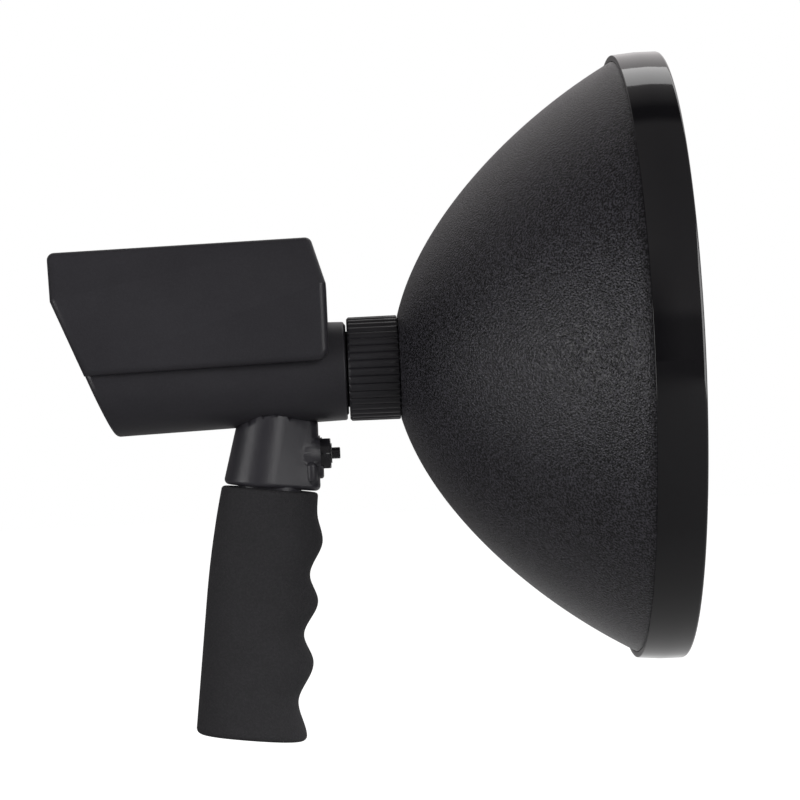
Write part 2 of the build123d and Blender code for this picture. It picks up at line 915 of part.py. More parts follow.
def bulb_clip():
    """The flat ring that holds the lamp's base, with a leg at each side down to the holder."""
    front = base_front + clamp_thickness
    inner = base_radius - clamp_width
    outer = base_radius + seat_gap + clamp_thickness
    cup = ring_between(base_front, front, inner, outer)
    cup += ring_between(holder_front, front, base_radius + seat_gap, outer)
    legs = cup & Pos(base_front, 0, 0) * Box(4 * base_flange, 2 * outer + 1, clamp_leg_width)
    return legs + ring_between(base_front, front, inner, base_radius)


# Places down the handle and along the switch
cap_face = grip_length + cap_stand
core_end = cap_face - cap_flange
bush_front = switch_face + washer_thickness + nut_thickness + bush_stand
switch_front = switch_face - switch_wall
switch_back = switch_front - switch_length
cavity_front = switch_front - 2 * seat_gap - plunger_collar_length
plunger_back = cavity_front - seat_gap - plunger_collar_length
spring_front = plunger_back - plunger_travel - seat_gap
spring_back = spring_front - (spring_turns + 1) * 2 * (spring_wire + spring_gap / 2)


def handle_frame():
    """The neck with its saddle, its switch boss and ribs, and the core inside the foam."""
    tube_line = Plane(origin=(handle_x, 0, tube_bottom + neck_overlap))
    top = tube_line * wedge(neck_top_rear, neck_top_front, heel_round_top, nose_round_top)
    bottom = handle_plane(-neck_clearance) * wedge(neck_rear, neck_front, heel_round, nose_round)
    neck = loft([top, bottom], ruled=True)
    neck = fillet(neck.faces().sort_by(Axis.Z)[0].edges(), neck_rounding)
    boss = rod(switch_face - boss_depth, switch_face, boss_radius, z=switch_z)
    chin = rod(switch_face - boss_depth, switch_face + chin_stand, chin_radius, z=switch_z - chin_drop)
    chin = fillet(chin.edges().sort_by(Axis.X)[-1], chin_stand)
    chin -= rod(switch_face, switch_face + 2 * chin_stand, washer_radius + seat_gap, z=switch_z)
    neck += boss
    neck += chin
    rib_x = switch_face - rib_setback
    rib_top = switch_z - boss_radius + rib_radius
    rib_low = handle_top.Z + neck_clearance + neck_rounding
    for side in (-1, 1):
        neck += post(rib_x, side * rib_side, rib_low, rib_top, rib_radius)
        neck += Pos(rib_x, side * rib_side, rib_top) * Sphere(rib_radius)
    core = extrude(handle_plane(core_end) * core_section(), core_end + 2 * neck_rounding)
    frame = neck + core
    frame -= tube_cone(seat_gap, tube_front, tube_back)
    frame -= handle_rod(-neck_drop - neck_overlap, cap_face, cable_bore_radius)
    frame -= rod(switch_back - moving_gap, switch_front, switch_radius + seat_gap, z=switch_z)
    frame -= rod(switch_front - 1, switch_face + 1, bush_radius + seat_gap, z=switch_z)
    for x in handle_screw_places():
        frame -= post(x, 0, tube_floor(x) - handle_screw_length, 0, screw_radius)
    for side in (-1, 1):
        frame -= handle_rod(core_end - cap_screw_length, core_end, cap_screw_radius, side * cap_screw_offset)
    return frame


def core_section(growth=0.0):
    """The rounded section of the handle's core, grown evenly."""
    length = 2 * (core_half_length + growth)
    width = 2 * (core_half_width + growth)
    return RectangleRounded(length, width, core_rounding + growth)


def grip_section(down, front):
    """One section of the grip: narrower at the top, with the finger lobes in front."""
    easing = max(1 - down / grip_easing, 0) ** 2
    rear = grip_rear - (grip_rear - grip_rear_top) * easing
    return handle_plane(down) * oval(rear, front, grip_half_width * rear / grip_rear, grip_squareness)


def foam_grip():
    """The soft sleeve with four finger lobes."""
    sleeve = loft([grip_section(down, front) for down, front in reversed(finger_lobes)])
    sleeve = fillet(sleeve.faces().sort_by(Axis.Z)[0].edges(), grip_rounding)
    sleeve = fillet(sleeve.faces().sort_by(Axis.Z)[-1].edges(), grip_rounding / 2)
    return sleeve - extrude(handle_plane(grip_length + 1) * core_section(seat_gap), grip_length + 2)


def end_cap():
    """The hard cap that closes the handle, round the inlet."""
    cap = extrude(handle_plane(cap_face) * core_section(), cap_flange)
    cap -= handle_rod(core_end - 1, cap_face + 1, inlet_bush_radius + seat_gap)
    cap -= handle_rod(cap_face - inlet_flange, cap_face + 1, inlet_radius + seat_gap)
    for side in (-1, 1):
        place = side * cap_screw_offset
        cap -= handle_rod(core_end - 1, cap_face + 1, cap_screw_radius + seat_gap, place)
        cap -= handle_rod(cap_face - cap_screw_head, cap_face + 1, cap_screw_head_radius + seat_gap, place)
    return cap


def cap_screws():
    """The cap's two screws, with their heads below its face."""
    screws = []
    head_front = cap_face - cap_screw_head / 3
    for place in (-cap_screw_offset, cap_screw_offset):
        shank = handle_rod(core_end - cap_screw_length + 1, head_front, cap_screw_radius - screw_fit, place)
        screws.append(shank + handle_rod(cap_face - cap_screw_head, head_front, cap_screw_head_radius, place))
    return Compound(screws)


def inlet_socket():
    """The supply inlet: a flanged bush with a wide mouth and a narrower bore."""
    back = cap_face - inlet_depth - inlet_floor
    socket = handle_rod(back, cap_face - inlet_flange / 2, inlet_bush_radius)
    socket += handle_rod(cap_face - inlet_flange, cap_face, inlet_radius)
    socket -= handle_rod(cap_face - inlet_mouth_depth, cap_face + 1, inlet_mouth_radius)
    socket -= handle_rod(cap_face - inlet_depth, cap_face, inlet_bore_radius)
    for side in (-1, 1):
        socket -= handle_rod(back - 1, cap_face, contact_radius, 0, side * contact_offset)
    return socket


def inlet_nut():
    """The round nut that holds the inlet from inside."""
    ring = handle_rod(core_end - inlet_nut_thickness, core_end, inlet_nut_radius)
    ring -= handle_rod(core_end - inlet_nut_thickness - 1, core_end + 1, inlet_bush_radius + seat_gap)
    slot = handle_plane(core_end - inlet_nut_thickness) * Box(3 * inlet_nut_radius, screw_slot, screw_slot)
    return ring - slot


def inlet_contacts():
    """The two pins of the inlet, with their tails inside."""
    back = cap_face - inlet_depth - inlet_floor - contact_tail
    front = cap_face - inlet_depth + contact_reach
    radius = contact_radius - screw_fit
    return Compound([handle_rod(back, front, radius, 0, side * contact_offset) for side in (-1, 1)])


def switch_washer():
    """The flat washer under the switch's nut."""
    x = switch_face
    return rod(x, x + washer_thickness, washer_radius, z=switch_z) - rod(
        x - 1, x + 2, bush_radius + seat_gap, z=switch_z
    )


def switch_nut():
    """The switch's hexagon nut, with its corners chamfered in front."""
    back = switch_face + washer_thickness
    plane = Plane(origin=(back, 0, switch_z), x_dir=(0, 1, 0), z_dir=(1, 0, 0))
    nut = extrude(plane * RegularPolygon(nut_across / 2, 6, major_radius=False), nut_thickness)
    corner = nut_across / sqrt(3)
    crown = Pos(0, 0, switch_z) * turned(
        (back, 0),
        (back, corner),
        (back + nut_thickness - nut_chamfer, corner),
        (back + nut_thickness, corner - 2 * nut_chamfer),
        (back + nut_thickness, 0),
    )
    return (nut & crown) - rod(back - 1, back + nut_thickness + 1, bush_radius + seat_gap, z=switch_z)


def switch_body():
    """The switch inside the neck, with the threaded bush that comes out through its wall."""
    body = rod(switch_back, switch_front, switch_radius, z=switch_z)
    body += rod(switch_front - 1, bush_front, bush_radius, z=switch_z)
    body -= rod(cavity_front - 1, bush_front + 1, plunger_radius + running_fit, z=switch_z)
    return body - rod(spring_back, cavity_front, plunger_cavity, z=switch_z)


def switch_plunger():
    """The push button: a round stem with a collar that keeps it in the switch."""
    tip = bush_front - bush_stand + plunger_stand
    return Pos(0, 0, switch_z) * turned(
        (plunger_back, 0),
        (tip, 0),
        (tip, plunger_radius, plunger_rounding),
        (plunger_back + plunger_collar_length, plunger_radius),
        (plunger_back + plunger_collar_length, plunger_collar),
        (plunger_back, plunger_collar),
    )


def switch_spring():
    """The plunger's return spring, drawn at its pressed length on the cavity's floor."""
    coil_radius = plunger_cavity - 2 * spring_wire
    height = spring_front - spring_back - 2 * spring_wire
    path = Helix(pitch=height / spring_turns, height=height, radius=coil_radius)
    section = Plane(origin=path @ 0, z_dir=path % 0) * Circle(spring_wire)
    coil = sweep(section, path, is_frenet=True)
    return Pos(spring_back + spring_wire, 0, switch_z) * Rot(0, 90, 0) * coil


def terminal_heights():
    """Heights of the switch's lower and upper terminal."""
    return [switch_z - terminal_spread, switch_z + terminal_spread]


def switch_terminals():
    """The two flat terminals behind the switch."""
    align = (Align.MAX, Align.CENTER, Align.CENTER)
    blade = Box(terminal_length, terminal_width, terminal_thickness, align=align)
    return Compound([Pos(switch_back, -lead_side, z) * blade for z in terminal_heights()])


def handle_xz(forward, down):
    """A point of the handle's middle plane, as x and z."""
    point = handle_point(forward, down)
    return point.X, point.Z


def riser():
    """The way up from the neck, through the tube and its window, to the ballast's front."""
    rise_x = ballast_front + lead_rise
    top = deck_top + ballast_height / 2
    return [(rise_x, deck_top / 3), (rise_x, top), (ballast_front, top)]


def supply_leads():
    """The two leads from the inlet: one to the switch, one up to the ballast."""
    inlet_back = cap_face - inlet_depth - inlet_floor - contact_tail
    low = switch_z - terminal_spread
    end = switch_back - terminal_length
    switched = wire(
        lead_radius, lead_bend, -lead_side, handle_xz(0, inlet_back), handle_xz(0, cable_bore_radius),
        (end - lead_turn, low - 3 * lead_bend), (end - lead_turn, low), (end, low)
    )
    direct = wire(
        lead_radius, lead_bend, lead_side, handle_xz(0, inlet_back), handle_xz(0, cable_bore_radius),
        handle_xz(-lead_pass, -lead_bend), handle_xz(-lead_pass, -neck_drop + 2 * lead_bend), *riser()
    )
    return Compound([switched, direct])


def switch_lead():
    """The lead from the switch up to the ballast."""
    high = switch_z + terminal_spread
    end = switch_back - terminal_length
    return wire(
        lead_radius, lead_bend, -lead_side, (end, high), (end - lead_turn, high),
        (end - lead_turn / 2, high + 5 * lead_bend), *riser()
    )


def lamp_leads():
    """Two leads from the ballast to the igniter, and two on to the lamp's holder."""
    out_z = deck_top + ballast_height / 4
    front_x = ballast_front + lead_rise
    leads = []
    for side in (-lamp_lead_side, lamp_lead_side):
        leads.append(wire(
            lead_radius, lead_bend, side, (ballast_front, out_z), (front_x, out_z),
            (front_x, deck_top / 3), (igniter_front(), deck_top / 3)
        ))
        leads.append(rod(igniter_front(), holder_back, lead_radius, side, -deck_top / 6))
    return Compound(leads)


makers = (
    bezel_ring, lens, lens_gasket, reflector, bowl_shell, neck_sleeve,
    focus_collar, retaining_clip, collar_seal,
    tube_body, ballast_cover, cover_gasket, cover_screws, ballast, igniter,
    bulb_holder, bulb_base, bulb_glass, arc_tube, return_wire, bulb_clip,
    handle_frame, handle_screws, foam_grip, end_cap, cap_screws, inlet_socket, inlet_nut, inlet_contacts,
    switch_body, switch_washer, switch_nut, switch_plunger, switch_spring, switch_terminals,
    supply_leads, switch_lead, lamp_leads,
)

os.makedirs("parts", exist_ok=True)
for make in makers:
    export_step(make(), f"parts/{make.__name__}.step")
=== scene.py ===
import json
import math

import bmesh
import bpy
import numpy as np
from mathutils import Matrix, Vector


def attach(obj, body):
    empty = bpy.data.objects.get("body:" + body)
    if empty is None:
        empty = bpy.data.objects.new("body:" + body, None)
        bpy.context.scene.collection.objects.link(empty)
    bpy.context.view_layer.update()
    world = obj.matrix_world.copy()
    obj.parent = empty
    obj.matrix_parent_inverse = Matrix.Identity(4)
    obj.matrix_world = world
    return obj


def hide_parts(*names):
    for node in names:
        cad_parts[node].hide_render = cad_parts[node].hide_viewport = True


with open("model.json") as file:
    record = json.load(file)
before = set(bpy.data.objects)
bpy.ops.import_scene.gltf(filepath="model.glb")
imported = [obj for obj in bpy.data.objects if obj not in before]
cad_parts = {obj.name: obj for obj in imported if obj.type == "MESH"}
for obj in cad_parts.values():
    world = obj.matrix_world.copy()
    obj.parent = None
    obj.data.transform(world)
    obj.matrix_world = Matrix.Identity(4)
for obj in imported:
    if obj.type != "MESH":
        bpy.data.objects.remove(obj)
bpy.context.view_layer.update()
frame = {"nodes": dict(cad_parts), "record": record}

# Handheld spotlight. Shapes are worked out in millimetres and put into the meshes in metres.
# +X is the way the beam goes, +Z is up, and the origin is on the lamp's axis in the middle of the bezel ring.

MM = 0.001

# The bezel ring and the glass
RING_RADIUS = 120.0
RING_HALF = 9.15
RING_LAND = -0.05
RING_TAPER = 0.8
RING_ROUNDING = 1.2
RIM_BORE = 116.9
LIP_RADIUS = 110.4
LIP_BACK = 5.95
LIP_ROUNDING = 0.6
LENS_BACK = 1.95

# The bowl and the mirror
BOWL_FRONT = 0.45
BOWL_BACK = -97.5
BOWL_RIM = 116.7
BOWL_RIM_WIDTH = 4.1
BOWL_RIM_CHAMFER = 0.5
BOWL_ROOT = 20.6
BOWL_ROOT_CHAMFER = (0.3, 0.4)
BOWL_FULLNESS = 0.15
BOWL_WALL = 3.0
BOWL_HOLE = 16.18
MIRROR_BACK = -93.9
MIRROR_HOLE = 14.5
MIRROR_WALL = 1.5
MIRROR_FLANGE = 3.9

# The sleeve at the bowl's back and its thread
SLEEVE_BACK = -112.5
SLEEVE_FRONT = -94.61
SLEEVE_BORE = 13.08
SLEEVE_NECK = 16.08
SLEEVE_RADIUS = 17.48
SLEEVE_CHAMFER = 0.5
THREAD_DEPTH = 0.55
THREAD_PITCH = 2.4
THREAD_STARTS = 5
THREAD_STEEPNESS = 0.9
THREAD_RUN_OUT = 1.2

# The focus collar, with the places of its rows along the axis
COLLAR_FRONT = -97.8
COLLAR_BACK = -117.8
COLLAR_ROWS = np.array([-117.8, -117.4, -117.0, -116.6, -113.0, -108.0, -103.0, -98.3, -98.0, -97.8])
COLLAR_RADIUS = 20.7
COLLAR_DRAFT = math.tan(math.radians(0.3))
COLLAR_FRONT_CHAMFER = 0.4
COLLAR_BACK_CHAMFER = 0.8
COLLAR_BORE = 17.58
COLLAR_BACK_BORE = 15.08
COLLAR_BORE_STEP = -115.4
REEDS = 40
REED_DEPTH = 0.75
REED_ROUNDNESS = 0.9

# The grip, along its leaning axis
GRIP_TOP = np.array([-151.1, 0.0, -46.0135])
GRIP_LEAN = math.radians(7.04)
GRIP_LENGTH = 98.45
GRIP_REAR = 21.45
GRIP_REAR_TOP = 18.9
GRIP_EASING = 45.0
GRIP_HALF_WIDTH = 17.0
GRIP_SQUARENESS = 2.4
GRIP_TOP_ROUNDING = 1.2
GRIP_LOW_ROUNDING = 2.2
GRIP_HOLE_FORWARD = 12.7
GRIP_HOLE_SIDE = 11.1
FINGER_LOBES = np.array([
    (0.0, 19.3), (8.5, 19.7), (18.7, 22.6), (33.3, 18.7), (42.5, 22.6),
    (57.2, 18.2), (66.5, 22.6), (83.5, 18.0), (96.45, 22.4), (98.45, 22.6),
])

# The studio's light by a direction's angle about the X axis, in degrees, and its tint
STUDIO = (
    (-180, 0.12), (-30, 0.30), (0, 0.35), (8, 0.45), (15, 0.92), (33, 0.85), (43, 0.75), (60, 0.30),
    (70, 0.15), (76, 0.02), (82, 0.02), (86, 0.19), (130, 0.25), (164, 0.32), (168, 0.13), (180, 0.12),
)
STUDIO_TINT = (1.0, 0.96, 0.965)

# The studio towards the handle's side, by a direction's X and Z: its light low and high, and at the far end
SIDE_LIGHT = (0.3, 1.2)
SIDE_HEIGHTS = (0.25, 0.65)
SIDE_EDGE = (-0.12, 0.06)
FAR_LIGHT = 0.2
FAR_EDGE = (-0.9, -0.4)

# The floor in metres, its paint, the glow near the object, and how far out that fades to plain white
FLOOR_SIZE = 6.0
FLOOR = -0.30
FLOOR_PAINT = 0.34
FLOOR_GLOW = 0.66
FLOOR_FADE = (0.5, 1.1)

# The glow that reflections see in the floor: it grows away from the camera, fades further out, and ends
# towards the handle's side
GLOW_GROWS = (-0.2, 1.1)
GLOW_FADES = (0.6, 1.1)
GLOW_FADED = 0.35
GLOW_BESIDE = (-0.27, -0.02)

# Lamps: name, place and target in metres, width, height and watts
LAMPS = (
    ("key_left", (-1.3, -0.72, 0.0), (0.0, 0.0, 0.0), 0.7, 0.7, 8.5),
    ("key_right", (1.2, -0.9, 0.05), (-0.05, 0.0, 0.0), 1.8, 1.8, 44.0),
    ("strip", (0.6, 0.72, 1.08), (0.6, -0.06, 0.104), 1.3, 0.37, 2.3),
)

# The camera, solved from the object's outlines: its place in metres, the ways of its axes, and its lens
CAMERA_PLACE = (-0.12224, -1.11193, -0.01311)
CAMERA_RIGHT = (0.99871868, -0.02193163, -0.04560708)
CAMERA_UP = (0.04559609, -0.00100128, 0.99895946)
CAMERA_BACK = (-0.02195448, -0.99975897, 0.0)
CAMERA_LENS = 126.02
CAMERA_SENSOR = 36.0


# Surfaces


def surface(name, grid):
    """A smooth mesh from a grid of points in millimetres, rows by columns.

    The last column is joined to the first, and the last row to the first. Rows that shrink to one point are
    merged into a pole, and the faces are turned outwards.
    """
    rows, columns = grid.shape[:2]
    index = np.arange(rows * columns).reshape(rows, columns)
    index = np.pad(index, ((0, 1), (0, 1)), mode="wrap")
    corners = [index[:-1, :-1], index[:-1, 1:], index[1:, 1:], index[1:, :-1]]
    quads = np.stack(corners, axis=-1).reshape(-1, 4)
    mesh = bpy.data.meshes.new(name)
    mesh.vertices.add(rows * columns)
    mesh.vertices.foreach_set("co", (grid * MM).astype(np.float32).ravel())
    mesh.loops.add(quads.size)
    mesh.loops.foreach_set("vertex_index", quads.astype(np.int32).ravel())
    mesh.polygons.add(len(quads))
    mesh.polygons.foreach_set("loop_start", np.arange(0, quads.size, 4, dtype=np.int32))
    mesh.update(calc_edges=True)
    return tidied(mesh)


def tidied(mesh, crease=34.0):
    """The mesh with doubles merged and its faces turned outwards, smooth up to a crease angle in degrees."""
    work = bmesh.new()
    work.from_mesh(mesh)
    bmesh.ops.remove_doubles(work, verts=work.verts, dist=2e-6)
    bmesh.ops.dissolve_degenerate(work, dist=1e-7, edges=work.edges)
    bmesh.ops.recalc_face_normals(work, faces=work.faces)
    work.to_mesh(mesh)
    work.free()
    mesh.polygons.foreach_set("use_smooth", np.ones(len(mesh.polygons), dtype=bool))
    mesh.set_sharp_from_angle(angle=math.radians(crease))
    return mesh


def rounded(corners, steps):
    """A closed outline with its corners turned into arcs.

    Each corner is x, radius from the axis, and rounding. Its arc touches both edges at rounding / tan(half
    the corner's angle), and its centre lies on the corner's bisector at rounding / sin(half the angle).
    """
    points = np.array([(x, radius) for x, radius, rounding in corners])
    pieces = []
    for place, (_, _, rounding) in enumerate(corners):
        here = points[place]
        if not rounding:
            pieces.append(here[None])
            continue
        before = points[place - 1] - here
        after = points[(place + 1) % len(points)] - here
        before /= np.linalg.norm(before)
        after /= np.linalg.norm(after)
        half = math.acos(np.clip(before @ after, -1, 1)) / 2
        bisector = (before + after) / np.linalg.norm(before + after)
        centre = here + bisector * rounding / math.sin(half)
        start = here + before * rounding / math.tan(half) - centre
        end = here + after * rounding / math.tan(half) - centre
        sweep = math.acos(np.clip(start @ end / rounding ** 2, -1, 1))
        share = np.linspace(0, 1, steps + 1)[:, None]
        arc = (np.sin((1 - share) * sweep) * start + np.sin(share * sweep) * end) / math.sin(sweep)
        pieces.append(centre + arc)
    return np.concatenate(pieces)


def divided(outline, step):
    """The outline with extra points on its long straight runs, evenly spaced at one to two steps."""
    following = np.roll(outline, -1, axis=0)
    runs = []
    for start, end in zip(outline, following):
        count = max(int(np.linalg.norm(end - start) / step), 1)
        runs.append(start + (end - start) * (np.arange(count) / count)[:, None])
    return np.concatenate(runs)


def full_turn(count):
    """Evenly spaced angles round a full turn."""
    return np.arange(count) * 2 * np.pi / count


def about_axis(x, radius, angle):
    """Points about the lamp's axis, (x, radius cos angle, radius sin angle), with a row for each x."""
    x, radius, angle = np.broadcast_arrays(x[:, None], radius, angle)
    return np.stack([x, radius * np.cos(angle), radius * np.sin(angle)], axis=-1)


def turned(outline, segments):
    """Turns an outline of x and radius about the lamp's axis."""
    return about_axis(outline[:, 0], outline[:, 1:], full_turn(segments))


def bowl_curve(share):
    """The bowl's outside: radius squared grows from root to rim with the share of the way, fuller between."""
    fullness = share + BOWL_FULLNESS * share ** 2 * (1 - share)
    return np.sqrt(BOWL_ROOT ** 2 + (BOWL_RIM ** 2 - BOWL_ROOT ** 2) * fullness)


def moved_in(curve, depth):
    """The curve moved by a depth along its normals, which are its tangents turned a quarter."""
    tangent = np.gradient(curve, axis=0)
    tangent /= np.linalg.norm(tangent, axis=1)[:, None]
    return curve + depth * np.stack([tangent[:, 1], -tangent[:, 0]], axis=-1)


def bowl_outline():
    """The bowl's closed section: its outside, the rim in the ring, its inside and the sleeve's hole."""
    share = np.linspace(0, 1, 61) ** 2
    outside = np.stack([BOWL_BACK + share * (-RING_HALF - BOWL_BACK), bowl_curve(share)], axis=-1)
    inside = moved_in(outside, BOWL_WALL)
    rim_inner = BOWL_RIM - BOWL_RIM_WIDTH
    rim = np.array([
        (BOWL_FRONT - BOWL_RIM_CHAMFER, BOWL_RIM), (BOWL_FRONT, BOWL_RIM - BOWL_RIM_CHAMFER),
        (BOWL_FRONT, rim_inner), (inside[-1, 0], rim_inner),
    ])
    root = np.array([
        (inside[0, 0], BOWL_HOLE), (BOWL_BACK, BOWL_HOLE), (BOWL_BACK, BOWL_ROOT - BOWL_ROOT_CHAMFER[1]),
    ])
    outside[0, 0] += BOWL_ROOT_CHAMFER[0]
    return np.concatenate([outside, rim, inside[::-1], root])


def mirror_outline():
    """The mirror's section: a parabola, radius squared growing evenly with x, with a wall and a flange."""
    share = np.linspace(0, 1, 61)
    radius = np.sqrt(MIRROR_HOLE ** 2 + (LIP_RADIUS ** 2 - MIRROR_HOLE ** 2) * share)
    inside = np.stack([MIRROR_BACK + share * (BOWL_FRONT - MIRROR_BACK), radius], axis=-1)
    outside = moved_in(inside, -MIRROR_WALL)
    flange_back = BOWL_FRONT - MIRROR_WALL
    flange_radius = LIP_RADIUS + MIRROR_FLANGE
    flange = np.array([
        (BOWL_FRONT, flange_radius), (flange_back, flange_radius), (flange_back, LIP_RADIUS + MIRROR_WALL),
    ])
    return np.concatenate([inside, flange, outside[-2::-1]])


def ring_outline():
    """The bezel ring's section: a straight land in front, a taper behind, and the lip before the lens."""
    return rounded([
        (-RING_HALF, RIM_BORE, 0.2), (-RING_HALF, RING_RADIUS - RING_TAPER, 0.25),
        (RING_LAND, RING_RADIUS, 0.0), (RING_HALF, RING_RADIUS, RING_ROUNDING),
        (RING_HALF, LIP_RADIUS, RING_ROUNDING), (LIP_BACK, LIP_RADIUS, LIP_ROUNDING),
        (LIP_BACK, RIM_BORE, 0.0),
    ], 8)


def glass_outline():
    """The lens's section: a flat disc with rounded edges, down to the axis."""
    return rounded([
        (LENS_BACK, BOWL_RIM, LIP_ROUNDING), (LIP_BACK, BOWL_RIM, LIP_ROUNDING), (LIP_BACK, 0.0, 0.0),
        (LENS_BACK, 0.0, 0.0),
    ], 4)


def threaded_sleeve():
    """The bowl's sleeve: a thread of several starts is cut into its outside.

    The groove's depth follows a clipped cosine of 2 pi x / pitch + starts * angle, so that a positive turn of
    the collar drives the head outwards. It runs out at both ends.
    """
    angle = full_turn(240)
    x = np.linspace(SLEEVE_BACK, BOWL_BACK, 101)
    wave = np.cos(2 * np.pi * x[:, None] / THREAD_PITCH + THREAD_STARTS * angle)
    run_out = np.clip(np.minimum(x - SLEEVE_BACK, BOWL_BACK - x) / THREAD_RUN_OUT, 0, 1)[:, None]
    outside = SLEEVE_RADIUS - THREAD_DEPTH * run_out * np.clip(0.5 + THREAD_STEEPNESS * wave, 0, 1)
    outside[0] -= SLEEVE_CHAMFER
    rest = np.array([
        (BOWL_BACK, SLEEVE_NECK), (SLEEVE_FRONT, SLEEVE_NECK), (SLEEVE_FRONT, SLEEVE_BORE),
        (SLEEVE_BACK, SLEEVE_BORE),
    ])
    radius = np.concatenate([outside, np.repeat(rest[:, 1:], len(angle), axis=1)])
    return about_axis(np.concatenate([x, rest[:, 0]]), radius, angle)


def reeded_collar():
    """The collar: round reeds, limited by a cone and two chamfered ends, and a bore with a step.

    A reed falls from its crest to its valley by depth * (1 - sqrt(1 - roundness * way squared)) /
    (1 - sqrt(1 - roundness)), where way is the share of the way from crest to valley.
    """
    per_reed = 12
    angle = full_turn(REEDS * per_reed)
    way = 2 * np.abs(np.arange(REEDS * per_reed) / per_reed % 1 - 0.5)
    fall = (1 - np.sqrt(1 - REED_ROUNDNESS * way ** 2)) / (1 - math.sqrt(1 - REED_ROUNDNESS))
    x = COLLAR_ROWS
    cone = COLLAR_RADIUS - (COLLAR_FRONT - x) * COLLAR_DRAFT
    back_cut = np.clip(COLLAR_BACK_CHAMFER - (x - COLLAR_BACK), 0, None)
    front_cut = np.clip(COLLAR_FRONT_CHAMFER - (COLLAR_FRONT - x), 0, None)
    outside = np.minimum(cone[:, None] - REED_DEPTH * fall, (cone - np.maximum(back_cut, front_cut))[:, None])
    bore = np.array([
        (COLLAR_FRONT, COLLAR_BORE), (COLLAR_BORE_STEP, COLLAR_BORE), (COLLAR_BORE_STEP, COLLAR_BACK_BORE),
        (COLLAR_BACK, COLLAR_BACK_BORE),
    ])
    radius = np.concatenate([outside, np.repeat(bore[:, 1:], len(angle), axis=1)])
    return about_axis(np.concatenate([x, bore[:, 0]]), radius, angle)


def smooth_steps(places, values, at):
    """A smooth curve through values at places: cubic pieces whose slopes are the centred differences."""
    slopes = np.gradient(values, places)
    index = np.clip(np.searchsorted(places, at, side="right") - 1, 0, len(places) - 2)
    width = places[index + 1] - places[index]
    t = (at - places[index]) / width
    start, end = values[index], values[index + 1]
    return (
        (2 * t ** 3 - 3 * t ** 2 + 1) * start + (t ** 3 - 2 * t ** 2 + t) * width * slopes[index]
        + (3 * t ** 2 - 2 * t ** 3) * end + (t ** 3 - t ** 2) * width * slopes[index + 1]
    )


def edge_shrink(distance, rounding):
    """How far a section shrinks near a rounded end: rounding - sqrt(rounding squared - gap squared).

    The gap is what the distance to the end lacks of the rounding.
    """
    gap = np.clip(rounding - distance, 0, rounding)
    return rounding - np.sqrt(rounding ** 2 - gap ** 2)


def grip_surface():
    """The foam sleeve: a superellipse carried down the leaning axis.

    Its front follows the finger lobes, its rear narrows towards the top, and both ends are rounded. Inside it
    has a straight hole of the same kind of section.
    """
    down = np.concatenate([
        np.linspace(0, 1, 9) ** 2 * GRIP_TOP_ROUNDING,
        np.linspace(GRIP_TOP_ROUNDING, GRIP_LENGTH - GRIP_LOW_ROUNDING, 150)[1:-1],
        GRIP_LENGTH - GRIP_LOW_ROUNDING * np.linspace(1, 0, 11) ** 2,
    ])
    front = smooth_steps(FINGER_LOBES[:, 0], FINGER_LOBES[:, 1], down)
    rear = GRIP_REAR - (GRIP_REAR - GRIP_REAR_TOP) * np.maximum(1 - down / GRIP_EASING, 0) ** 2
    half_width = GRIP_HALF_WIDTH * rear / GRIP_REAR
    shrink = edge_shrink(down, GRIP_TOP_ROUNDING) + edge_shrink(GRIP_LENGTH - down, GRIP_LOW_ROUNDING)
    angle = full_turn(192)
    along = np.sign(np.cos(angle)) * np.abs(np.cos(angle)) ** (2 / GRIP_SQUARENESS)
    across = np.sign(np.sin(angle)) * np.abs(np.sin(angle)) ** (2 / GRIP_SQUARENESS)
    forward = ((front - rear) / 2)[:, None] + ((front + rear) / 2 - shrink)[:, None] * along
    side = (half_width - shrink)[:, None] * across
    forward = np.concatenate([forward, np.repeat(GRIP_HOLE_FORWARD * along[None], 2, axis=0)])
    side = np.concatenate([side, np.repeat(GRIP_HOLE_SIDE * across[None], 2, axis=0)])
    down = np.concatenate([down, [GRIP_LENGTH, 0.0]])[:, None]
    x = GRIP_TOP[0] + forward * math.cos(GRIP_LEAN) - down * math.sin(GRIP_LEAN)
    z = GRIP_TOP[2] - forward * math.sin(GRIP_LEAN) - down * math.cos(GRIP_LEAN)
    return np.stack([x, side, z], axis=-1)


# Shader nodes


def group(name, inputs, outputs):
    """An empty shader node group with named inputs and outputs."""
    tree = bpy.data.node_groups.new(name, "ShaderNodeTree")
    for label, kind, value in inputs:
        socket = tree.interface.new_socket(label, in_out="INPUT", socket_type=kind)
        socket.default_value = value
    for label, kind in outputs:
        tree.interface.new_socket(label, in_out="OUTPUT", socket_type=kind)
    return tree, tree.nodes.new("NodeGroupInput"), tree.nodes.new("NodeGroupOutput")


def node(tree, kind, values=None, **settings):
    """A new node with its settings and the values of its unlinked inputs."""
    made = tree.nodes.new(kind)
    for key, value in settings.items():
        setattr(made, key, value)
    for key, value in (values or {}).items():
        made.inputs[key].default_value = value
    return made


def ranged(tree, source, low, high, from_low=0.0, from_high=1.0):
    """A number brought from one range to another, and held at its ends."""
    ends = {"From Min": from_low, "From Max": from_high, "To Min": low, "To Max": high}
    made = node(tree, "ShaderNodeMapRange", ends)
    tree.links.new(source, made.inputs["Value"])
    return made.outputs["Result"]


def combined(tree, operation, *sources):
    """A number worked out from others by one operation."""
    made = node(tree, "ShaderNodeMath", operation=operation)
    for place, source in enumerate(sources):
        tree.links.new(source, made.inputs[place])
    return made.outputs[0]


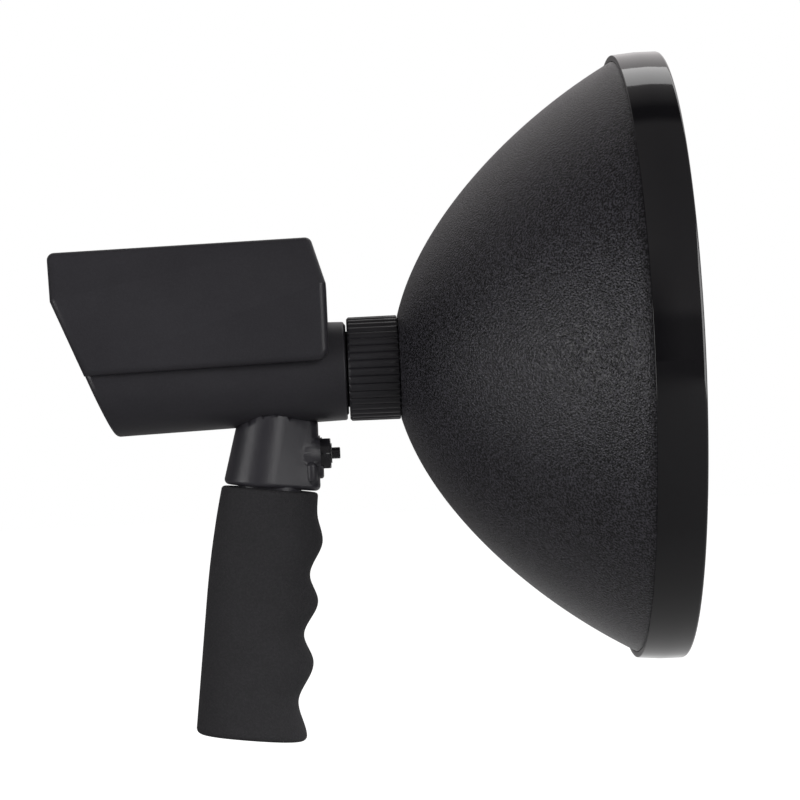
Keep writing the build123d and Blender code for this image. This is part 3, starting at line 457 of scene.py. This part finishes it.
def mixed(tree, factor, first, second, kind="FLOAT"):
    """Two numbers or two colours mixed by a factor."""
    made = node(tree, "ShaderNodeMix", data_type=kind)
    tree.links.new(factor, made.inputs["Factor"])
    tree.links.new(first, made.inputs["A"])
    tree.links.new(second, made.inputs["B"])
    return made.outputs["Result"]


def noise_of(tree, place, scale, values):
    """A noise over a place, with its scale from a socket."""
    made = node(tree, "ShaderNodeTexNoise", values)
    tree.links.new(place, made.inputs["Vector"])
    tree.links.new(scale, made.inputs["Scale"])
    return made.outputs["Fac"]


def seen_directly(tree):
    """1 where the camera looks straight at something or through glass, and 0 for all other light."""
    path = node(tree, "ShaderNodeLightPath")
    return combined(tree, "MAXIMUM", path.outputs["Is Camera Ray"], path.outputs["Is Transmission Ray"])


# Materials


def make_grain_group():
    """Moulded grain as a height: small round bumps, with finer noise mixed in."""
    tree, given, result = group(
        "moulded_grain",
        [("Scale", "NodeSocketFloat", 900.0), ("Fine", "NodeSocketFloat", 0.35)],
        [("Height", "NodeSocketFloat")],
    )
    place = node(tree, "ShaderNodeTexCoord")
    cells = node(tree, "ShaderNodeTexVoronoi", {"Randomness": 1.0}, feature="F1")
    tree.links.new(given.outputs["Scale"], cells.inputs["Scale"])
    tree.links.new(place.outputs["Object"], cells.inputs["Vector"])
    bumps = ranged(tree, cells.outputs["Distance"], 1.0, 0.0, 0.05, 0.75)
    finer = node(tree, "ShaderNodeMath", {1: 1.9}, operation="MULTIPLY")
    tree.links.new(given.outputs["Scale"], finer.inputs[0])
    noise = noise_of(tree, place.outputs["Object"], finer.outputs[0], {"Detail": 3.0, "Roughness": 0.6})
    tree.links.new(mixed(tree, given.outputs["Fine"], bumps, noise), result.inputs["Height"])
    return tree


def make_haze_and_glint_group():
    """Hazing from handling, with painted glints: soft clouds shift the colour, fine speckles shift it too,
    partly as random tone and partly as painted glints standing in for the grain's small highlights, and the
    clouds shift the roughness too.
    """
    tree, given, result = group(
        "handling_haze_and_painted_glints",
        [("Scale", "NodeSocketFloat", 30.0), ("Dark", "NodeSocketColor", (0, 0, 0, 1)),
         ("Light", "NodeSocketColor", (0, 0, 0, 1)), ("Least", "NodeSocketFloat", 0.3),
         ("Most", "NodeSocketFloat", 0.4), ("Glint Specks", "NodeSocketFloat", 0.0),
         ("Glint Speck Scale", "NodeSocketFloat", 1.0)],
        [("Color", "NodeSocketColor"), ("Roughness", "NodeSocketFloat")],
    )
    place = node(tree, "ShaderNodeTexCoord").outputs["Object"]
    clouds = noise_of(tree, place, given.outputs["Scale"], {"Detail": 5.0, "Roughness": 0.62})
    share = ranged(tree, clouds, 0.0, 1.0, 0.35, 0.65)
    glint_specks = noise_of(tree, place, given.outputs["Glint Speck Scale"], {"Detail": 0.0})
    glint_speck_share = ranged(tree, glint_specks, 0.0, 1.0, 0.38, 0.72)
    both = mixed(tree, given.outputs["Glint Specks"], share, glint_speck_share)
    colour = mixed(tree, both, given.outputs["Dark"], given.outputs["Light"], "RGBA")
    roughness = mixed(tree, share, given.outputs["Least"], given.outputs["Most"])
    tree.links.new(colour, result.inputs["Color"])
    tree.links.new(roughness, result.inputs["Roughness"])
    return tree


grain_group = make_grain_group()
haze_and_glint_group = make_haze_and_glint_group()
materials = {}


def finish(name, colours, roughness, haze_scale, grain=None, glint_specks=(0.0, 1.0), **sockets):
    """Makes a material: hazed colour with painted glints, roughness, moulded grain as bump, and constants set
    on the shader.

    colours are its darkest and lightest, and roughness its least and most. grain is the scale of the bumps,
    their depth in metres and the share of fine noise. The speck pair gives small speckles in the colour,
    partly random tone and partly painted glints standing in for the grain's highlights: their share of the
    colour's shift and their scale.
    """
    material = bpy.data.materials.new(name)
    material.use_nodes = True
    materials[name] = material
    tree = material.node_tree
    shader = tree.nodes["Principled BSDF"]
    for key, value in sockets.items():
        shader.inputs[key.replace("_", " ")].default_value = value
    values = {
        "Scale": haze_scale, "Dark": (*colours[0], 1), "Light": (*colours[1], 1), "Least": roughness[0],
        "Most": roughness[1], "Glint Specks": glint_specks[0], "Glint Speck Scale": glint_specks[1],
    }
    haze_and_glints = node(tree, "ShaderNodeGroup", values, node_tree=haze_and_glint_group)
    tree.links.new(haze_and_glints.outputs["Color"], shader.inputs["Base Color"])
    tree.links.new(haze_and_glints.outputs["Roughness"], shader.inputs["Roughness"])
    if grain:
        scale, depth, fine = grain
        bumps = node(tree, "ShaderNodeGroup", {"Scale": scale, "Fine": fine}, node_tree=grain_group)
        bump = node(tree, "ShaderNodeBump", {"Strength": 1.0, "Distance": depth})
        tree.links.new(bumps.outputs["Height"], bump.inputs["Height"])
        tree.links.new(bump.outputs["Normal"], shader.inputs["Normal"])


def grey(level):
    """A neutral colour."""
    return (level, level, level)


def black(level):
    """A black with a slight violet cast."""
    return (level, level * 0.96, level * 1.14)


# Black plastics, foam and rubber
# The bowl, housing and foam have speckles in their colour, partly random tone and partly painted glints of
# their grain.
finish("bowl_black", (black(0.002), black(0.062)), (0.30, 0.36), 14.0, (1300.0, 0.00024, 0.35), (0.9, 1500.0),
       Specular_IOR_Level=0.32)
finish("ring_black", (black(0.005), black(0.006)), (0.045, 0.065), 22.0, (90.0, 0.00001, 0.9))
finish("collar_black", (black(0.016), black(0.020)), (0.34, 0.42), 40.0, (1500.0, 0.00003, 0.6),
       Specular_IOR_Level=0.35)
finish("housing_black", (black(0.021), black(0.027)), (0.38, 0.44), 25.0,
       (1600.0, 0.00004, 0.6), (0.4, 1100.0), Specular_IOR_Level=0.35)
finish("neck_black", (black(0.028), black(0.033)), (0.38, 0.44), 40.0, (1700.0, 0.00003, 0.6),
       Specular_IOR_Level=0.4)
finish("foam_black", ((0.025, 0.0244, 0.0265), (0.035, 0.0342, 0.037)), (0.85, 0.95), 60.0,
       (1400.0, 0.00025, 0.5), (0.5, 1200.0), Specular_IOR_Level=0.25)
finish("seal_black", (black(0.018), black(0.024)), (0.62, 0.72), 60.0)

# Metals
finish("mirror_coat", ((0.88, 0.89, 0.90), (0.92, 0.93, 0.94)), (0.02, 0.05), 40.0, Metallic=1.0)
finish("bright_steel", (grey(0.48), grey(0.60)), (0.22, 0.36), 160.0, Metallic=1.0)
finish("black_metal", (black(0.010), black(0.014)), (0.22, 0.32), 90.0, (1800.0, 0.00001, 0.35))
finish("brass", ((0.60, 0.43, 0.18), (0.74, 0.56, 0.27)), (0.20, 0.34), 160.0, Metallic=1.0)
finish("cast_aluminium", (grey(0.52), grey(0.62)), (0.35, 0.5), 120.0, (1500.0, 0.00003, 0.35), Metallic=1.0)

# Inner plastics and leads
finish("white_base", ((0.68, 0.65, 0.58), (0.76, 0.73, 0.66)), (0.45, 0.6), 90.0, (1600.0, 0.00003, 0.35))
finish("potting_grey", (grey(0.10), grey(0.14)), (0.5, 0.65), 90.0, (1500.0, 0.00004, 0.35))
finish("lead_red", ((0.30, 0.015, 0.012), (0.36, 0.02, 0.016)), (0.35, 0.45), 90.0)
finish("lead_black", (black(0.014), black(0.018)), (0.35, 0.45), 90.0)

# Glass
finish("clear_glass", ((0.97, 0.985, 0.98), (0.98, 0.99, 0.985)), (0.0, 0.015), 40.0,
       Transmission_Weight=1.0, IOR=1.49)
finish("lamp_glass", (grey(0.97), grey(0.98)), (0.0, 0.02), 120.0, Transmission_Weight=1.0, IOR=1.46)


# Pieces


def placed(name, mesh, body, material, *nodes):
    """Puts a mesh into the scene: it rides on a body, stands for its nodes and has its slot's material."""
    piece = bpy.data.objects.new(name, mesh)
    bpy.context.scene.collection.objects.link(piece)
    mesh.materials.clear()
    mesh.materials.append(materials[material])
    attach(piece, body)
    if nodes:
        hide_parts(*nodes)
    return piece


def softened(name, source, body, material, crease=40.0):
    """A piece with a node's own form: its copied mesh is merged, and its roundings shade smoothly."""
    mesh = frame["nodes"][source].data.copy()
    piece = placed(name, tidied(mesh, crease), body, material, source)
    even = piece.modifiers.new("even_faces", "WEIGHTED_NORMAL")
    even.keep_sharp = True
    even.weight = 80


def make_head():
    """The bowl with its sleeve, ring, glass and mirror."""
    bowl = surface("bowl", turned(divided(bowl_outline(), 4.0), 288))
    placed("bowl", bowl, "head", "bowl_black", "bowl_shell")
    sleeve = surface("threaded_sleeve", threaded_sleeve())
    placed("threaded_sleeve", sleeve, "head", "collar_black", "neck_sleeve")
    ring = surface("ring", turned(divided(ring_outline(), 3.0), 360))
    placed("ring", ring, "head", "ring_black", "bezel_ring")
    glass = surface("glass", turned(divided(glass_outline(), 12.0), 240))
    placed("glass", glass, "head", "clear_glass", "lens")
    mirror = surface("mirror", turned(divided(mirror_outline(), 6.0), 240))
    placed("mirror", mirror, "head", "mirror_coat", "reflector")


def make_collar():
    """The ribbed focus collar."""
    placed("collar", surface("collar", reeded_collar()), "focus_collar", "collar_black", "focus_collar")


def make_grip():
    """The foam sleeve with its finger lobes."""
    placed("sleeve", surface("sleeve", grip_surface()), "body", "foam_black", "foam_grip")


make_head()
make_collar()
make_grip()
softened("tube", "tube_body", "body", "housing_black")
softened("housing", "ballast_cover", "body", "housing_black")
softened("neck", "handle_frame", "body", "neck_black")
softened("cap", "end_cap", "body", "neck_black")
softened("nut", "switch_nut", "body", "black_metal", 30.0)
softened("button", "switch_plunger", "switch_button", "black_metal", 30.0)

for subpart in frame["record"]["subparts"]:
    part = frame["nodes"][subpart["node"]]
    part.data.materials.clear()
    part.data.materials.append(materials[subpart["material_slot"]])


# Light, floor and camera


def lamp(name, place, target, width, height, power):
    """A rectangular soft lamp at a place, facing a target, in metres and watts."""
    data = bpy.data.lights.new(name, "AREA")
    data.shape = "RECTANGLE"
    data.size = width
    data.size_y = height
    data.energy = power
    light = bpy.data.objects.new(name, data)
    bpy.context.scene.collection.objects.link(light)
    light.location = place
    light.rotation_euler = (Vector(target) - Vector(place)).to_track_quat("-Z", "Y").to_euler()


def make_world():
    """A studio round the object, and plain white where the camera or glass looks straight past the object.

    The light of a direction depends on its angle about the X axis: 0 is the horizon behind the object, 90 is
    overhead, and 180 is the camera's side. Towards -X, the side of the handle, it is dimmed low down and
    raised a little high up, and at the far end it is dimmed once more.
    """
    world = bpy.data.worlds.new("studio")
    bpy.context.scene.world = world
    world.use_nodes = True
    tree = world.node_tree
    tree.nodes.clear()
    out = tree.nodes.new("ShaderNodeOutputWorld")
    place = node(tree, "ShaderNodeTexCoord")
    way = node(tree, "ShaderNodeSeparateXYZ")
    tree.links.new(place.outputs["Generated"], way.inputs["Vector"])
    angle = combined(tree, "ARCTAN2", way.outputs["Z"], way.outputs["Y"])
    ramp = node(tree, "ShaderNodeValToRGB")
    while len(ramp.color_ramp.elements) < len(STUDIO):
        ramp.color_ramp.elements.new(1.0)
    for element, (degrees, light) in zip(ramp.color_ramp.elements, STUDIO):
        element.position = 0.5 + degrees / 360
        element.color = (*(light * share for share in STUDIO_TINT), 1)
    tree.links.new(ranged(tree, angle, 0.0, 1.0, -math.pi, math.pi), ramp.inputs["Fac"])
    side = node(tree, "ShaderNodeMix", {"B": 1.0}, data_type="FLOAT")
    tree.links.new(ranged(tree, way.outputs["X"], 0.0, 1.0, *SIDE_EDGE), side.inputs["Factor"])
    tree.links.new(ranged(tree, way.outputs["Z"], *SIDE_LIGHT, *SIDE_HEIGHTS), side.inputs["A"])
    far = ranged(tree, way.outputs["X"], FAR_LIGHT, 1.0, *FAR_EDGE)
    room = node(tree, "ShaderNodeBackground")
    tree.links.new(ramp.outputs["Color"], room.inputs["Color"])
    tree.links.new(combined(tree, "MULTIPLY", side.outputs["Result"], far), room.inputs["Strength"])
    white = node(tree, "ShaderNodeBackground", {"Color": (1, 1, 1, 1), "Strength": 1.0})
    pick = node(tree, "ShaderNodeMixShader")
    tree.links.new(seen_directly(tree), pick.inputs["Fac"])
    tree.links.new(room.outputs[0], pick.inputs[1])
    tree.links.new(white.outputs[0], pick.inputs[2])
    tree.links.new(pick.outputs[0], out.inputs["Surface"])


def make_floor_material():
    """Pale paint with two glows: one for the camera, plain white further out, and one for reflections."""
    material = bpy.data.materials.new("floor_white")
    material.use_nodes = True
    tree = material.node_tree
    tree.nodes.clear()
    out = tree.nodes.new("ShaderNodeOutputMaterial")
    place = node(tree, "ShaderNodeTexCoord")
    away = node(tree, "ShaderNodeVectorMath", operation="LENGTH")
    tree.links.new(place.outputs["Object"], away.inputs[0])
    plain = ranged(tree, away.outputs["Value"], FLOOR_GLOW, 1.0, *FLOOR_FADE)
    spot = node(tree, "ShaderNodeSeparateXYZ")
    tree.links.new(place.outputs["Object"], spot.inputs["Vector"])
    grows = ranged(tree, spot.outputs["Y"], 0.0, 1.0, *GLOW_GROWS)
    fades = ranged(tree, spot.outputs["Y"], 1.0, GLOW_FADED, *GLOW_FADES)
    beside = ranged(tree, spot.outputs["X"], 0.0, 1.0, *GLOW_BESIDE)
    reflected = combined(tree, "MULTIPLY", combined(tree, "MULTIPLY", grows, fades), beside)
    direct = combined(tree, "MULTIPLY", plain, seen_directly(tree))
    path = node(tree, "ShaderNodeLightPath")
    strength = combined(tree, "MULTIPLY_ADD", reflected, path.outputs["Is Glossy Ray"], direct)
    paint = node(tree, "ShaderNodeBsdfDiffuse", {"Color": (*grey(FLOOR_PAINT), 1)})
    glow = node(tree, "ShaderNodeEmission", {"Color": (1, 1, 1, 1)})
    tree.links.new(strength, glow.inputs["Strength"])
    total = node(tree, "ShaderNodeAddShader")
    tree.links.new(paint.outputs[0], total.inputs[0])
    tree.links.new(glow.outputs[0], total.inputs[1])
    tree.links.new(total.outputs[0], out.inputs["Surface"])
    return material


def make_floor():
    """A large square floor, which shows the object's shadow near it."""
    ends = (-FLOOR_SIZE, FLOOR_SIZE)
    corners = [(ends[0], ends[0]), (ends[1], ends[0]), (ends[1], ends[1]), (ends[0], ends[1])]
    mesh = bpy.data.meshes.new("floor")
    mesh.from_pydata([(x, y, FLOOR) for x, y in corners], [], [(0, 1, 2, 3)])
    mesh.materials.append(make_floor_material())
    floor = bpy.data.objects.new("floor", mesh)
    bpy.context.scene.collection.objects.link(floor)


def make_camera():
    """The camera: 1.11 m away at the lamp's height, rolled by 2.6 degrees."""
    data = bpy.data.cameras.new("camera")
    data.sensor_width = CAMERA_SENSOR
    data.lens = CAMERA_LENS
    camera = bpy.data.objects.new("camera", data)
    bpy.context.scene.collection.objects.link(camera)
    turn = Matrix((CAMERA_RIGHT, CAMERA_UP, CAMERA_BACK)).transposed().to_4x4()
    turn.translation = Vector(CAMERA_PLACE)
    camera.matrix_world = turn
    bpy.context.scene.camera = camera


make_world()
make_floor()
make_camera()
for values in LAMPS:
    lamp(*values)
bpy.context.scene.view_settings.view_transform = "Standard"
